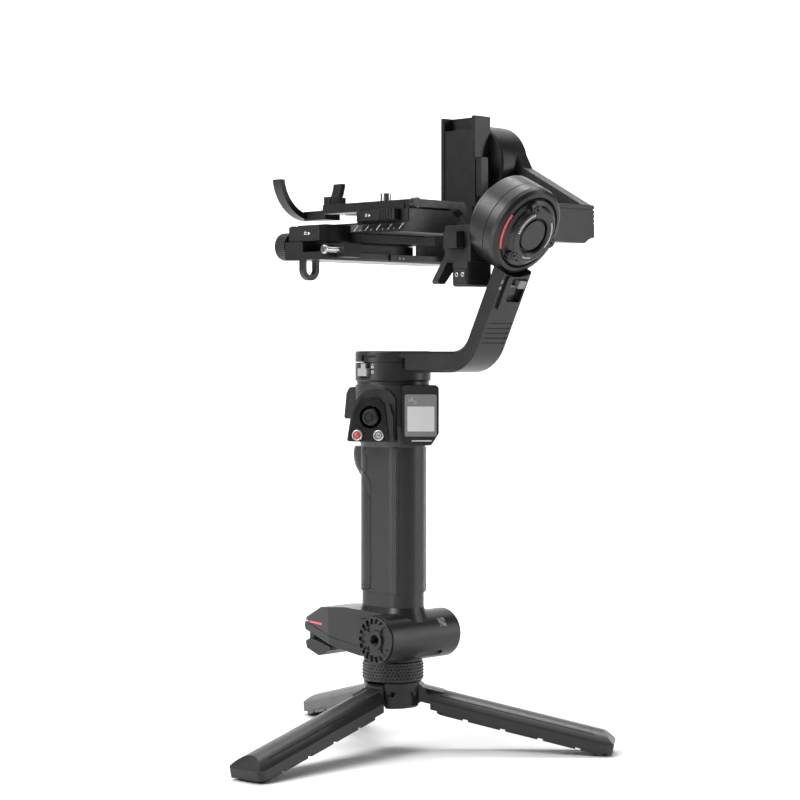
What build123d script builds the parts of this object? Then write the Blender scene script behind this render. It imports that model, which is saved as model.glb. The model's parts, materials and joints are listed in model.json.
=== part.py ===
from build123d import *
import os
from math import cos, radians, sin

os.makedirs("parts", exist_ok=True)

# A three-axis hand-held camera gimbal on a folding mini tripod. Millimetres, +Z up, +Y towards the
# lens, +X towards the tilt motor. The origin is the mouth of the quarter-inch socket under the
# tripod hub, on the pan axis.

# ---- fits -------------------------------------------------------------------------------------
gap = 0.35  # between pieces that move past each other
fit = 0.05  # radial play of a shaft or pin in its hole
thread_r = 3.175  # quarter-inch tripod thread
small_thread_r = 2.0  # M4

# ---- tripod -----------------------------------------------------------------------------------
hub_r, hub_h = 17.0, 14.5
ring_r, ring_h = 17.4, 12.0
leg_azimuths = (186.5, 306.5, 66.5)
leg_slope = 12.6  # below level when open
leg_length, leg_width = 118.0, 24.0
leg_low, leg_high, crown_r = -6.5, 4.4, 15.0  # underside and top about the pin, radius of the domed top
leg_pin_at, leg_pin_z, leg_pin_r = 13.5, 8.5, 1.5
tongue_width, tongue_r = 12.0, 5.4
pad_start, pad_depth = 15.0, 2.0  # the tread under each leg

# ---- base -------------------------------------------------------------------------------------
base_z, base_r = 41.0, 14.1  # the horizontal barrel's axis height and radius
base_y = -12.0
base_left, base_right = -27.0, 31.5
wedge_front, wedge_half_width = 64.0, 15.0

# ---- grip and head ----------------------------------------------------------------------------
grip_x, grip_y, grip_corner, grip_wall = 26.0, 41.0, 12.0, 1.6
grip_bottom, grip_top = 66.5, 150.0
ledge_y = 28.5  # how far the finger ledge at the top of the grip reaches forward
head_bottom, head_top = 150.0, 186.0
display_azimuth, panel_azimuth = 225.0, 208.0

# ---- motors -----------------------------------------------------------------------------------
pan_r, pan_bottom, pan_seam, pan_top = 22.0, 188.0, 198.9, 205.6
roll_slant = 26.0  # the roll axis rises this much towards the front
roll_r, cap_r = 25.5, 20.0
cap_centre = (0, -109.0, 268.0)  # on the roll axis, at the outer face of the motor cap
roll_seam, roll_front = 13.8, 28.0  # along the roll axis from the cap
tilt_z, tilt_r = 318.0, 24.0
tilt_inner, tilt_seam, tilt_outer = 68.5, 79.8, 91.0  # along X

# ---- arms and camera stage --------------------------------------------------------------------
arm_half_width = 12.5
upright_back, upright_front = 2.2, 10.8  # along the roll axis from the cap
bar_back, bar_front = -76.0, -66.0  # roll arm in Y
slide_low, slide_high = 262.0, 271.0
bar_low, bar_high = 268.5, 291.0  # the deep part of the roll arm
beam_low, beam_high = 257.5, 262.0
beam_back, beam_front, beam_left = 5.0, 36.0, -52.0
rail_low, rail_top = 268.0, 278.0
plate_low, plate_high = 273.0, 279.6
plate_left, plate_right, plate_back, plate_front = -24.0, 25.0, -32.0, 44.0
clamp_top = 286.3
deck_top = 292.0

roll_axis = Plane(
    origin=cap_centre,
    x_dir=(-1, 0, 0),
    z_dir=(0, cos(radians(roll_slant)), sin(radians(roll_slant))),
)


def save(piece, name):
    """Label a finished piece and write it to its own file."""
    piece.part.label = name
    export_step(piece.part, f"parts/{name}.step")


def upright(azimuth, origin=(0, 0, 0)):
    """A vertical plane at origin that faces azimuth, with its y direction up."""
    turn = radians(azimuth)
    return Plane(origin=origin, x_dir=(-sin(turn), cos(turn), 0), z_dir=(cos(turn), sin(turn), 0))


left_face, rear_face, right_face, front_face = (upright(a) for a in (180, 270, 0, 90))


def block(x, y, z, corner=0.0, mode=Mode.ADD):
    """A block between two limits each way, with its upright edges rounded."""
    panel(Plane.XY, x, y, z, corner, mode)


def panel(plane, x, y, depth, corner=0.0, mode=Mode.ADD):
    """A block on a plane: limits across it, then along its normal, with rounded corners."""
    with BuildSketch(plane.offset(depth[0])) as outline:
        with Locations(((x[0] + x[1]) / 2, (y[0] + y[1]) / 2)):
            if corner:
                RectangleRounded(x[1] - x[0], y[1] - y[0], corner)
            else:
                Rectangle(x[1] - x[0], y[1] - y[0])
    extrude(outline.sketch, amount=depth[1] - depth[0], mode=mode)


def disc(plane, radius, depth, at=(0, 0), mode=Mode.ADD):
    """A cylinder on a plane between two depths along its normal."""
    with BuildSketch(plane.offset(depth[0])) as outline:
        with Locations(at):
            Circle(radius)
    extrude(outline.sketch, amount=depth[1] - depth[0], mode=mode)


def profile(plane, points, depth, radius=0.0, mode=Mode.ADD):
    """A closed outline on a plane, its corners rounded, between two depths."""
    with BuildSketch(plane.offset(depth[0])) as outline:
        with BuildLine():
            if radius:
                FilletPolyline(*points, radius=radius, close=True)
            else:
                Polyline(*points, close=True)
        make_face()
    extrude(outline.sketch, amount=depth[1] - depth[0], mode=mode)


# ================================================================================ tripod
with BuildPart() as tripod_hub:
    disc(Plane.XY, hub_r, (0, hub_h))
    chamfer(tripod_hub.edges().group_by(Axis.Z)[0], 1.2)
    disc(Plane.XY, thread_r, (0, hub_h), mode=Mode.SUBTRACT)
    for azimuth in leg_azimuths:
        slot = Plane.XY.rotated((0, 0, azimuth))
        half = tongue_width / 2 + gap
        panel(slot, (leg_pin_at - tongue_r - 0.6, hub_r + 2), (-half, half), (-1, hub_h + 1),
              mode=Mode.SUBTRACT)
        side = upright(azimuth + 90)
        disc(side, leg_pin_r, (-hub_r, hub_r), at=(-leg_pin_at, leg_pin_z), mode=Mode.SUBTRACT)
save(tripod_hub, "tripod_hub")

with BuildPart() as leg_pins:
    for azimuth in leg_azimuths:
        disc(upright(azimuth + 90), leg_pin_r, (-9.5, 9.5), at=(-leg_pin_at, leg_pin_z))
save(leg_pins, "leg_pins")


def leg_plane(azimuth):
    """The leg's side view: x runs out along the leg, y is its upper side, z is sideways."""
    turn, drop = radians(azimuth), radians(leg_slope)
    return Plane(
        origin=(leg_pin_at * cos(turn), leg_pin_at * sin(turn), leg_pin_z),
        x_dir=(cos(turn) * cos(drop), sin(turn) * cos(drop), -sin(drop)),
        z_dir=(sin(turn), -cos(turn), 0),
    )


for number, azimuth in enumerate(leg_azimuths, start=1):
    side = leg_plane(azimuth)
    top = Plane(side.origin, x_dir=side.x_dir, z_dir=side.y_dir)
    with BuildPart() as leg:
        half = leg_width / 2
        outline = [
            (4.4, leg_high), (leg_length - 8, leg_high), (leg_length, -1.0),
            (leg_length, leg_low), (11.5, leg_low), (10.2, -1.0),
        ]
        profile(side, outline, (-half, half))
        with BuildSketch(top.offset(leg_low - 1)) as plan:
            with Locations((leg_length / 2 + 1, 0)):
                RectangleRounded(leg_length + 0.6, leg_width, 6.0)
        extrude(plan.sketch, amount=leg_high - leg_low + 2, mode=Mode.INTERSECT)
        crown = Plane(side.origin, x_dir=side.z_dir, z_dir=side.x_dir)
        disc(crown, crown_r, (-5, leg_length + 5), at=(0, crown_r - leg_high), mode=Mode.INTERSECT)
        for groove in (-8.6, 8.1):
            panel(top, (15, leg_length - 12), (groove, groove + 0.5), (1.2, leg_high + 1),
                  mode=Mode.SUBTRACT)
        disc(side, tongue_r, (-tongue_width / 2, tongue_width / 2))
        panel(side, (0, 16), (-4.6, 4.0), (-tongue_width / 2, tongue_width / 2))
        # tread along the underside
        panel(top, (pad_start, leg_length - 2.5), (1.2 - half, half - 1.2),
              (leg_low - pad_depth, leg_low + 0.3), 5.0)
        for step in range(4):
            at = pad_start + 16 + 22 * step
            panel(top, (at, at + 3), (-half, half), (leg_low - 3, leg_low - 1.0),
                  mode=Mode.SUBTRACT)
        disc(side, leg_pin_r + fit, (-half, half), mode=Mode.SUBTRACT)
    save(leg, f"leg_{number}")

with BuildPart() as lock_ring:
    disc(Plane.XY, ring_r, (hub_h + gap, hub_h + ring_h))
    chamfer(lock_ring.edges().group_by(Axis.Z)[0] + lock_ring.edges().group_by(Axis.Z)[-1], 0.6)
    disc(Plane.XY, 7.5, (hub_h, hub_h + ring_h + 1), mode=Mode.SUBTRACT)
save(lock_ring, "tripod_lock_ring")

with BuildPart() as stud:
    disc(Plane.XY, 7.5 - fit, (hub_h, hub_h + ring_h + 0.2))
    disc(Plane.XY, thread_r, (hub_h + ring_h + 0.2, hub_h + ring_h + 8))
save(stud, "tripod_stud")

# ================================================================================ base
base_bottom = hub_h + ring_h + 0.2
barrel_plane = upright(0, (0, base_y, base_z))
wedge_side = Plane.YZ
rosette_r = 13.5
strip_z = (42.9, 44.3)  # the accent strip round the tip
with BuildPart() as base_housing:
    disc(barrel_plane, base_r, (base_left + 1.5, base_right))
    fillet(base_housing.edges().sort_by(Axis.X)[-1], 3.0)
    # the wedge that runs forward and thins to a split tip
    nose = [(base_y, base_z + base_r - 0.5), (26, 55.6), (48, 53.8), (wedge_front, 46.2),
            (wedge_front + 1, 44.6), (wedge_front - 2, 43.6), (40, 37.6), (base_y, 31.2)]
    profile(wedge_side, nose, (-wedge_half_width, wedge_half_width))
    with BuildSketch(Plane.XY.offset(20)) as plan:
        with BuildLine():
            tip = 9.0
            FilletPolyline((-40, -60), (-40, 6), (-wedge_half_width, 14), (-wedge_half_width + 1, 40),
                           (-tip, wedge_front + 2), (tip, wedge_front + 2),
                           (wedge_half_width - 1, 40), (wedge_half_width, 14), (40, 6), (40, -60),
                           radius=2.5, close=True)
        make_face()
    extrude(plan.sketch, amount=60, mode=Mode.INTERSECT)
    # the collar that swells into the grip
    sections = []
    for level, swell in ((50.0, 5.0), (54.5, 1.0), (58.0, -1.6), (grip_bottom, -1.6)):
        with BuildSketch(Plane.XY.offset(level)) as section:
            RectangleRounded(grip_x + swell, grip_y + swell, grip_corner + swell / 2)
        sections.append(section.sketch)
    loft(sections=sections, ruled=True)
    # boss over the tripod, with its threaded socket
    disc(Plane.XY, ring_r - 0.4, (base_bottom, base_z - 6))
    disc(Plane.XY, thread_r, (base_bottom, base_bottom + 9), mode=Mode.SUBTRACT)
    # slot for the accent strip and the seat of the rosette
    disc(barrel_plane, rosette_r, (base_left - 1, base_left + 3.0), mode=Mode.SUBTRACT)
    disc(barrel_plane, small_thread_r + 0.6, (base_left, base_left + 12), mode=Mode.SUBTRACT)
    for side in (-1, 1):
        block((-16, -8.6) if side < 0 else (8.6, 16), (47, wedge_front + 4), strip_z,
              mode=Mode.SUBTRACT)
    # shallow foot recess along the back of the barrel
    panel(upright(270, (0, base_y - base_r, base_z)), (-2, 18), (-12.4, -8.6), (-6, 1), 1.5,
          mode=Mode.SUBTRACT)
save(base_housing, "base_housing")

with BuildPart() as accent:
    for side in (-1, 1):
        block((side * 11.0 - 2.1, side * 11.0 + 2.1), (47.4, 61.5), strip_z)
    with BuildSketch(Plane.XY.offset(40)) as plan:
        with BuildLine():
            Polyline((-14.0, 40), (-8.9, wedge_front), (8.9, wedge_front), (14.0, 40), close=True)
        make_face()
    extrude(plan.sketch, amount=20, mode=Mode.INTERSECT)
save(accent, "base_accent_strips")

hook_y, hook_z = 60.0, 34.5
with BuildPart() as lower_cover:
    cover = [(8, 33.2), (40, 37.2), (wedge_front - 4, 42.6), (wedge_front + 1, 43.7), (wedge_front + 2, 41.4),
             (wedge_front + 1, 38.8), (33, 30.8), (14, 28.4), (8, 28.4)]
    profile(wedge_side, cover, (-wedge_half_width, wedge_half_width))
    with BuildSketch(Plane.XY.offset(20)) as plan:
        with BuildLine():
            Polyline((-14, -10), (-13.6, 40), (-9, wedge_front + 3), (9, wedge_front + 3), (13.6, 40),
                     (14, -10), close=True)
        make_face()
    extrude(plan.sketch, amount=40, mode=Mode.INTERSECT)
    disc(Plane.XY, ring_r + 0.1, (0, base_z), mode=Mode.SUBTRACT)
    disc(barrel_plane, base_r + 0.1, (-40, 40), mode=Mode.SUBTRACT)
    for side in (-1, 1):  # hinge ears of the hook
        block((side * 7.2 - 1.3, side * 7.2 + 1.3), (hook_y - 2.0, hook_y + 2.0), (hook_z - 2.2, hook_z + 5))
    disc(right_face, 1.5, (-20, 20), at=(hook_y, hook_z), mode=Mode.SUBTRACT)
save(lower_cover, "base_lower_cover")

with BuildPart() as hook_pin:
    disc(right_face, 1.5, (-8.6, 8.6), at=(hook_y, hook_z))
save(hook_pin, "sling_grip_pin")

with BuildPart() as sling_grip:
    disc(right_face, 2.3, (-5.5, 5.5), at=(hook_y, hook_z))
    pad_outline = [(hook_y + 2.4, hook_z - 2.1), (hook_y + 1.4, hook_z - 6.3), (51, 24.5), (41.5, 28.5),
                   (41, 30.6), (50, 32.6), (hook_y - 2, hook_z)]
    profile(right_face, pad_outline, (-11.5, 11.5), radius=0.6)
    for side in (-1, 1):  # room for the ears
        disc(right_face, 3.4, (side * 7.2 - 1.7, side * 7.2 + 1.7), at=(hook_y, hook_z), mode=Mode.SUBTRACT)
    disc(right_face, 1.5 + fit, (-6, 6), at=(hook_y, hook_z), mode=Mode.SUBTRACT)
save(sling_grip, "sling_grip")

# rosette: the toothed accessory mount on the left end
rosette_out = base_left
with BuildPart() as rosette:
    disc(barrel_plane, rosette_r, (rosette_out, base_left + 3.0))
    disc(barrel_plane, thread_r, (rosette_out - 1, base_left + 3.5), mode=Mode.SUBTRACT)
    tooth_count = 18
    face = upright(180, (rosette_out, base_y, base_z))
    with BuildSketch(face.offset(-1.2)) as valleys:
        Circle(12.5)
        Circle(5.6, mode=Mode.SUBTRACT)
    extrude(valleys.sketch, amount=2, mode=Mode.SUBTRACT)
    with BuildSketch(face.offset(-1.2)) as teeth:
        with PolarLocations(11.0, tooth_count, start_angle=10):
            Polygon((-1.6, 0), (1.5, 1.15), (1.5, -1.15), align=None)
    extrude(teeth.sketch, amount=1.2)
    with BuildSketch(face.offset(-3.2)) as screw_holes:
        with PolarLocations(7.6, 4, start_angle=45):
            Circle(1.55)
    extrude(screw_holes.sketch, amount=6, mode=Mode.SUBTRACT)
    with BuildSketch(face.offset(-3.0)) as screw_heads:
        with PolarLocations(7.6, 4, start_angle=45):
            Circle(1.6)
    extrude(screw_heads.sketch, amount=1.0)
save(rosette, "accessory_rosette")

# ================================================================================ grip
inner_x, inner_y = grip_x - 2 * grip_wall, grip_y - 2 * grip_wall
pad_t = 0.8


def pad_layer(seam):
    """The outer layer at the front of the grip that the soft pad fills, less a seam all round."""
    with BuildPart() as layer:
        with BuildSketch(Plane.XY.offset(grip_bottom)) as ring:
            RectangleRounded(grip_x + 1, grip_y + 1, grip_corner + 0.5)
            RectangleRounded(grip_x - 2 * pad_t, grip_y - 2 * pad_t, grip_corner - pad_t, mode=Mode.SUBTRACT)
        extrude(ring.sketch, amount=grip_top - grip_bottom)
        edge = [(5.3 + seam, 69.5 + seam), (30, 69.5 + seam), (30, 129 - seam), (12.4, 129 - seam),
                (5.3 + seam, 120 - seam)]
        profile(right_face, edge, (-20, 20), radius=1.5, mode=Mode.INTERSECT)
    return layer.part


with BuildPart() as grip_shell:
    with BuildSketch(Plane.XY.offset(grip_bottom)) as outer:
        RectangleRounded(grip_x, grip_y, grip_corner)
        with Locations((0, -11.6)):  # the two upright edges along the back of the grip
            RectangleRounded(grip_x - 1.0, 7.2, 0.8)
    extrude(outer.sketch, amount=grip_top - grip_bottom)
    # finger ledge at the front, under the trigger
    sections = []
    swell = ((131.0, grip_y / 2 - 0.4), (134.5, ledge_y - 4.6), (138.0, ledge_y - 1.9), (141.5, ledge_y - 0.5),
             (145.0, ledge_y), (148.0, ledge_y - 0.4), (grip_top, ledge_y - 1.2))
    for level, reach in swell:
        with BuildSketch(Plane.XY.offset(level)) as section:
            with Locations((0, reach - 14)):
                RectangleRounded(20, 28, 9.5)
        sections.append(section.sketch)
    loft(sections=sections, ruled=True)
    with BuildSketch(Plane.XY.offset(grip_bottom - 1)) as inner:
        RectangleRounded(inner_x, inner_y, grip_corner - grip_wall)
    extrude(inner.sketch, amount=grip_top - grip_bottom - 2, mode=Mode.SUBTRACT)
    add(pad_layer(0.0), mode=Mode.SUBTRACT)
    for x in (-14, 11.9):  # seam up the sides of the ledge
        block((x, x + 2.1), (12.2, 12.7), (128, grip_top + 1), mode=Mode.SUBTRACT)
save(grip_shell, "grip_shell")

with BuildPart() as front_pad:
    add(pad_layer(0.3))
    with BuildSketch(Plane.XY.offset(grip_bottom)) as skin:
        RectangleRounded(grip_x, grip_y, grip_corner)
    extrude(skin.sketch, amount=grip_top - grip_bottom, mode=Mode.INTERSECT)
save(front_pad, "grip_front_pad")

cell_r = 9.0
with BuildPart() as cells:
    for y in (-9.2, 9.2):
        disc(Plane.XY, cell_r, (72, 137), at=(0, y))
save(cells, "battery_cells")

# ================================================================================ head
wheel_x, wheel_z = 17.5, 170.2
wheel_plane = upright(90, (wheel_x, 0, wheel_z))
trigger_y, trigger_z = 20.5, 174.2
display_plane = upright(display_azimuth, (0, 0, 0))
panel_plane = upright(panel_azimuth, (0, 0, 0))
display_face = 23.5
pod_face = 24.2
stick_at, record_at, mode_at = (-6.1, 167.8), (-13.8, 157.4), (-1.0, 157.4)  # on the control panel
with BuildPart() as head_housing:
    with BuildSketch(Plane.XY.offset(head_bottom)) as neck:
        RectangleRounded(grip_x, grip_y, grip_corner)
    with BuildSketch(Plane.XY.offset(head_bottom + 12)) as waist:
        RectangleRounded(36, 42, 15)
    with BuildSketch(Plane.XY.offset(head_top)) as crown:
        RectangleRounded(40, 42, 17)
    loft(sections=[neck.sketch, waist.sketch, crown.sketch], ruled=True)
    # display pod, with its lower corners cut
    pod = [(5.4, 152.5), (5.4, 186.0), (26.2, 186.0), (26.2, 158.5), (21.8, 151.6), (8.5, 151.6)]
    profile(display_plane, pod, (0, display_face), radius=2.2)
    # control pod
    pod = [(-20.8, 153.6), (-18.2, 169.5), (-16.0, 175.8), (-13.2, 180.0), (-9.6, 182.8), (-5.0, 184.0),
           (1.6, 184.1), (5.6, 182.2), (8.4, 178.2), (8.4, 153.6)]
    profile(panel_plane, pod, (0, pod_face - 1.2), radius=1.4)
    # raised rib beside the control panel
    profile(panel_plane, [(5.8, 154.2), (3.2, 175.2), (5.2, 175.6), (7.6, 168), (8.0, 154.2)],
            (pod_face - 2, pod_face + 0.8), radius=0.5)
    # brow over the trigger
    profile(right_face, [(8, 166), (26.6, 166), (24.6, 181.0), (22.2, 184.4), (8, 185.6)], (-14, 14),
            radius=1.5)
    disc(Plane.XY, 21.0, (head_top, pan_bottom))
    disc(Plane.XY, 6.0, (pan_bottom - 9, pan_bottom + 1), mode=Mode.SUBTRACT)
    # trigger pocket at the front, wheel pocket at the right, lamp seat at the left front
    block((-6.4, 6.4), (16.0, 33), (149, 177), mode=Mode.SUBTRACT)
    block((10.5, 30), (-6.6, 6.6), (163, 177.5), mode=Mode.SUBTRACT)
    disc(right_face, 1.0 + fit, (-8.4, 8.4), at=(trigger_y, trigger_z), mode=Mode.SUBTRACT)
    disc(wheel_plane, 1.2 + fit, (-8.6, 8.6), mode=Mode.SUBTRACT)
    # recesses for the display glass, the control panel and the buttons
    panel(display_plane, (6.5, 25.1), (156.6, 181.0), (display_face - 1.2, display_face + 1), 1.0,
          mode=Mode.SUBTRACT)
    disc(panel_plane, 8.6, (10.0, pod_face + 1), at=stick_at, mode=Mode.SUBTRACT)
    for at in (record_at, mode_at):
        disc(panel_plane, 3.5, (17.0, pod_face + 1), at=at, mode=Mode.SUBTRACT)
save(head_housing, "head_housing")

with BuildPart() as control_panel:
    face_outline = [(-19.4, 154.4), (-16.2, 170.5), (-12.0, 178.8), (-1.5, 179.0), (2.4, 174.6), (5.2, 154.2)]
    profile(panel_plane, face_outline, (pod_face - 1.2, pod_face), radius=1.4)
    disc(panel_plane, 6.6, (0, 50), at=stick_at, mode=Mode.SUBTRACT)
    for at in (record_at, mode_at):
        disc(panel_plane, 3.55, (0, 50), at=at, mode=Mode.SUBTRACT)
save(control_panel, "control_panel")

# The joystick tips up and down on a cross pin in a small gimbal, which turns about an upright axis.
pivot = panel_plane.offset(17.5)
pivot_at = pivot.from_local_coords((stick_at[0], stick_at[1], 0))
pin_plane = Plane(origin=pivot_at, x_dir=panel_plane.z_dir, z_dir=panel_plane.x_dir)
upright_pivot = Plane(origin=pivot_at, x_dir=panel_plane.x_dir, z_dir=(0, 0, 1))
with BuildPart() as joystick_base:
    disc(upright_pivot, 3.4, (-3.6, 3.6))
    with BuildSketch(upright_pivot.offset(-2.4)) as mouth:
        with Locations((0, -3.0)):
            Rectangle(3.8, 9.0)
    extrude(mouth.sketch, amount=4.8, mode=Mode.SUBTRACT)
    disc(pin_plane, 0.8 + fit, (-5, 5), mode=Mode.SUBTRACT)
    disc(upright_pivot, 1.4, (-6.5, -3.6))
    disc(upright_pivot, 1.4, (3.6, 6.5))
save(joystick_base, "joystick_gimbal")

with BuildPart() as joystick:
    disc(pin_plane, 0.8, (-3.0, 3.0))
    disc(panel_plane, 1.3, (17.5, 23.0), at=stick_at)
    disc(panel_plane, 4.8, (23.0, 25.4), at=stick_at)
    chamfer(joystick.edges().sort_by(Axis((0, 0, 167.8), panel_plane.z_dir))[-1], 0.8)
    disc(panel_plane, 3.2, (24.8, 30), at=stick_at, mode=Mode.SUBTRACT)
    disc(panel_plane, 1.3, (24.8, 25.8), at=stick_at)
save(joystick, "joystick")

for name, at in (("record_button", record_at), ("mode_button", mode_at)):
    with BuildPart() as button:
        disc(panel_plane, 3.1, (18.5, pod_face + 1.1), at=at)
        chamfer(button.edges().sort_by(Axis((0, 0, 157.4), panel_plane.z_dir))[-1], 0.4)
    save(button, name)

with BuildPart() as display_glass:
    panel(display_plane, (6.7, 24.9), (156.8, 180.8), (display_face - 1.2, display_face + 0.3), 0.9)
save(display_glass, "display_glass")

with BuildPart() as trigger:
    outline = [(18.8, 176.4), (24.6, 176.2), (29.3, 168.0), (28.6, 160.0), (25.4, 156.4), (22.0, 157.4),
               (21.6, 171.0)]
    profile(right_face, outline, (-6.0, 6.0), radius=0.8)
    disc(right_face, 1.0, (-8.0, 8.0), at=(trigger_y, trigger_z))
save(trigger, "trigger")

with BuildPart() as control_wheel:
    disc(wheel_plane, 6.4, (-5.6, 5.6))
    with BuildSketch(wheel_plane.offset(-6)) as notches:
        with PolarLocations(6.6, 24):
            Circle(0.45)
    extrude(notches.sketch, amount=12, mode=Mode.SUBTRACT)
    disc(wheel_plane, 1.2, (-8.2, 8.2))
save(control_wheel, "control_wheel")

# ================================================================================ pan motor
with BuildPart() as pan_stator:
    disc(Plane.XY, pan_r, (pan_bottom, pan_seam))
    chamfer(pan_stator.edges().group_by(Axis.Z)[0], 0.8)
    disc(Plane.XY, pan_r - 2, (pan_bottom + 2, pan_seam + 1), mode=Mode.SUBTRACT)
    disc(Plane.XY, 6.0, (pan_bottom - 5, pan_bottom + 2.5))
    disc(Plane.XY, 3.5, (pan_bottom - 6, pan_bottom + 3), mode=Mode.SUBTRACT)
    # guide for the lock slider on the left, open at the top
    panel(left_face, (-4.9, 3.3), (190.2, pan_seam + 1), (20.6, 24), mode=Mode.SUBTRACT)
save(pan_stator, "pan_motor_housing")

with BuildPart() as pan_coil:
    disc(Plane.XY, 14.6, (pan_bottom + 2, pan_bottom + 8.5))
    disc(Plane.XY, 8.0, (pan_bottom + 1, pan_bottom + 9), mode=Mode.SUBTRACT)
    tooth_slots = 12
    with BuildSketch(Plane.XY.offset(pan_bottom + 3)) as slots:
        with PolarLocations(13.4, tooth_slots):
            Rectangle(3.4, 1.6)
    extrude(slots.sketch, amount=7, mode=Mode.SUBTRACT)
save(pan_coil, "pan_motor_coil")

with BuildPart() as pan_shaft:
    disc(Plane.XY, 3.5 - fit, (pan_bottom - 5, pan_seam + gap))
save(pan_shaft, "pan_shaft")

with BuildPart() as pan_rotor:
    disc(Plane.XY, pan_r, (pan_seam + gap, pan_top))
    chamfer(pan_rotor.edges().group_by(Axis.Z)[-1], 0.8)
    disc(Plane.XY, pan_r - 4.5, (pan_top - 0.6, pan_top + 1), mode=Mode.SUBTRACT)
    panel(left_face, (-3.6, 2.0), (pan_seam - 1, 203.2), (20.6, 24), mode=Mode.SUBTRACT)
    panel(left_face, (-3.6, 7.0), (201.8, 203.2), (20.6, 24), mode=Mode.SUBTRACT)
    # skirt that carries the magnets round the coil
    disc(Plane.XY, 17.2, (pan_bottom + 3, pan_seam + gap + 1))
    disc(Plane.XY, 15.2, (pan_bottom + 2, pan_seam + gap), mode=Mode.SUBTRACT)
    disc(Plane.XY, 3.6, (pan_seam + gap - 0.5, pan_seam + gap), mode=Mode.SUBTRACT)
save(pan_rotor, "pan_rotor_cover")

with BuildPart() as pan_lock:
    panel(left_face, (-4.4, 2.8), (191.2, 195.6), (20.95, 24.4), 0.5)
    panel(left_face, (-2.6, 1.0), (195.6, 198.4), (22.3, 23.6))
    panel(left_face, (-2.6, 1.0), (195.2, 195.8), (20.95, 23.6))
save(pan_lock, "pan_lock_slider")

# ================================================================================ pan arm
rise = (-sin(radians(roll_slant)), cos(radians(roll_slant)))  # up the upright, in Y and Z
along = (cos(radians(roll_slant)), sin(radians(roll_slant)))  # along the roll axis


def on_upright(depth, height):
    """A point in Y and Z from its distance along the roll axis and up the upright."""
    return (
        cap_centre[1] + depth * along[0] + height * rise[0],
        cap_centre[2] + depth * along[1] + height * rise[1],
    )


def upright_meets(depth, z):
    """Where a face of the upright, run down, meets a level."""
    start = on_upright(depth, 0)
    drop = (start[1] - z) / rise[1]
    return (start[0] - drop * rise[0], z)


arm_low, arm_high = 193.4, 205.4
with BuildPart() as pan_arm:
    inner_corner = upright_meets(upright_front, arm_high)
    outer_corner = upright_meets(upright_back, arm_low)
    with BuildSketch(Plane.YZ.offset(-arm_half_width)) as side_view:
        with BuildLine():
            Polyline((-8, arm_low), (-8, arm_high), inner_corner, on_upright(upright_front, -17),
                     on_upright(upright_back, -17), outer_corner, close=True)
        make_face()
        for corner, bend_r in ((inner_corner, 13), (outer_corner, 25)):
            fillet(side_view.vertices().sort_by_distance((*corner, 0))[0], bend_r)
    extrude(side_view.sketch, amount=2 * arm_half_width)
    long_edges = pan_arm.edges().filter_by(lambda e: abs(abs(e.center().X) - arm_half_width) < 0.01)
    chamfer(long_edges, 1.5)
    disc(Plane.XY, pan_r, (pan_seam, pan_top + 1), mode=Mode.SUBTRACT)
    disc(Plane.XY, pan_r + 3.2, (arm_low - 1, 201.6), mode=Mode.SUBTRACT)  # clears the lock slider
    # clear the roll motor, whose housing the arm carries
    disc(roll_axis, roll_r, (upright_back - 3, roll_seam), mode=Mode.SUBTRACT)
    # recess for the roll lock, with a raised guard beside it
    panel(roll_axis, (-9.8, 1.6), (-40.5, -26.5), (-1, 5.4), 1.0, mode=Mode.SUBTRACT)
    panel(roll_axis, (4.6, 7.4), (-45.0, -25.0), (upright_back - 1.3, upright_back + 0.5), 1.3)
    # shallow grooves across the outside of the bend
    for height in range(-66, -51, 3):
        panel(roll_axis, (-9.5, 9.5), (height, height + 1.1), (upright_back - 2, upright_back + 0.5),
              mode=Mode.SUBTRACT)
save(pan_arm, "pan_arm")

with BuildPart() as roll_lock:
    panel(roll_axis, (-9.0, -3.2), (-32.0, -27.4), (1.4, 5.05), 0.4)
    panel(roll_axis, (-4.2, 0.8), (-36.6, -31.0), (3.2, 5.05))
save(roll_lock, "roll_lock_slider")

# ================================================================================ roll motor
def turned(points):
    """The right half of a turned piece about the roll axis, from radius and depth pairs."""
    section_plane = Plane(origin=cap_centre, x_dir=(1, 0, 0), z_dir=roll_axis.y_dir)
    with BuildSketch(section_plane) as section:
        with BuildLine():
            Polyline(*points, close=True)
        make_face()
    revolve(section.sketch, axis=Axis(cap_centre, roll_axis.z_dir))


depth_sign = Plane(origin=cap_centre, x_dir=(1, 0, 0), z_dir=roll_axis.y_dir).y_dir.dot(roll_axis.z_dir)
with BuildPart() as roll_stator:
    shell = [(cap_r + 0.4, 5.4), (cap_r + 1.0, 4.4), (roll_r - 2.4, 4.8), (roll_r - 0.6, 6.2), (roll_r, 8.4),
             (roll_r, roll_seam), (roll_r - 2, roll_seam), (roll_r - 2, 9.6), (3.5, 9.6), (3.5, 7.4),
             (cap_r + 0.4, 7.4)]
    turned([(r, d * depth_sign) for r, d in shell])
save(roll_stator, "roll_motor_housing")

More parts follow.
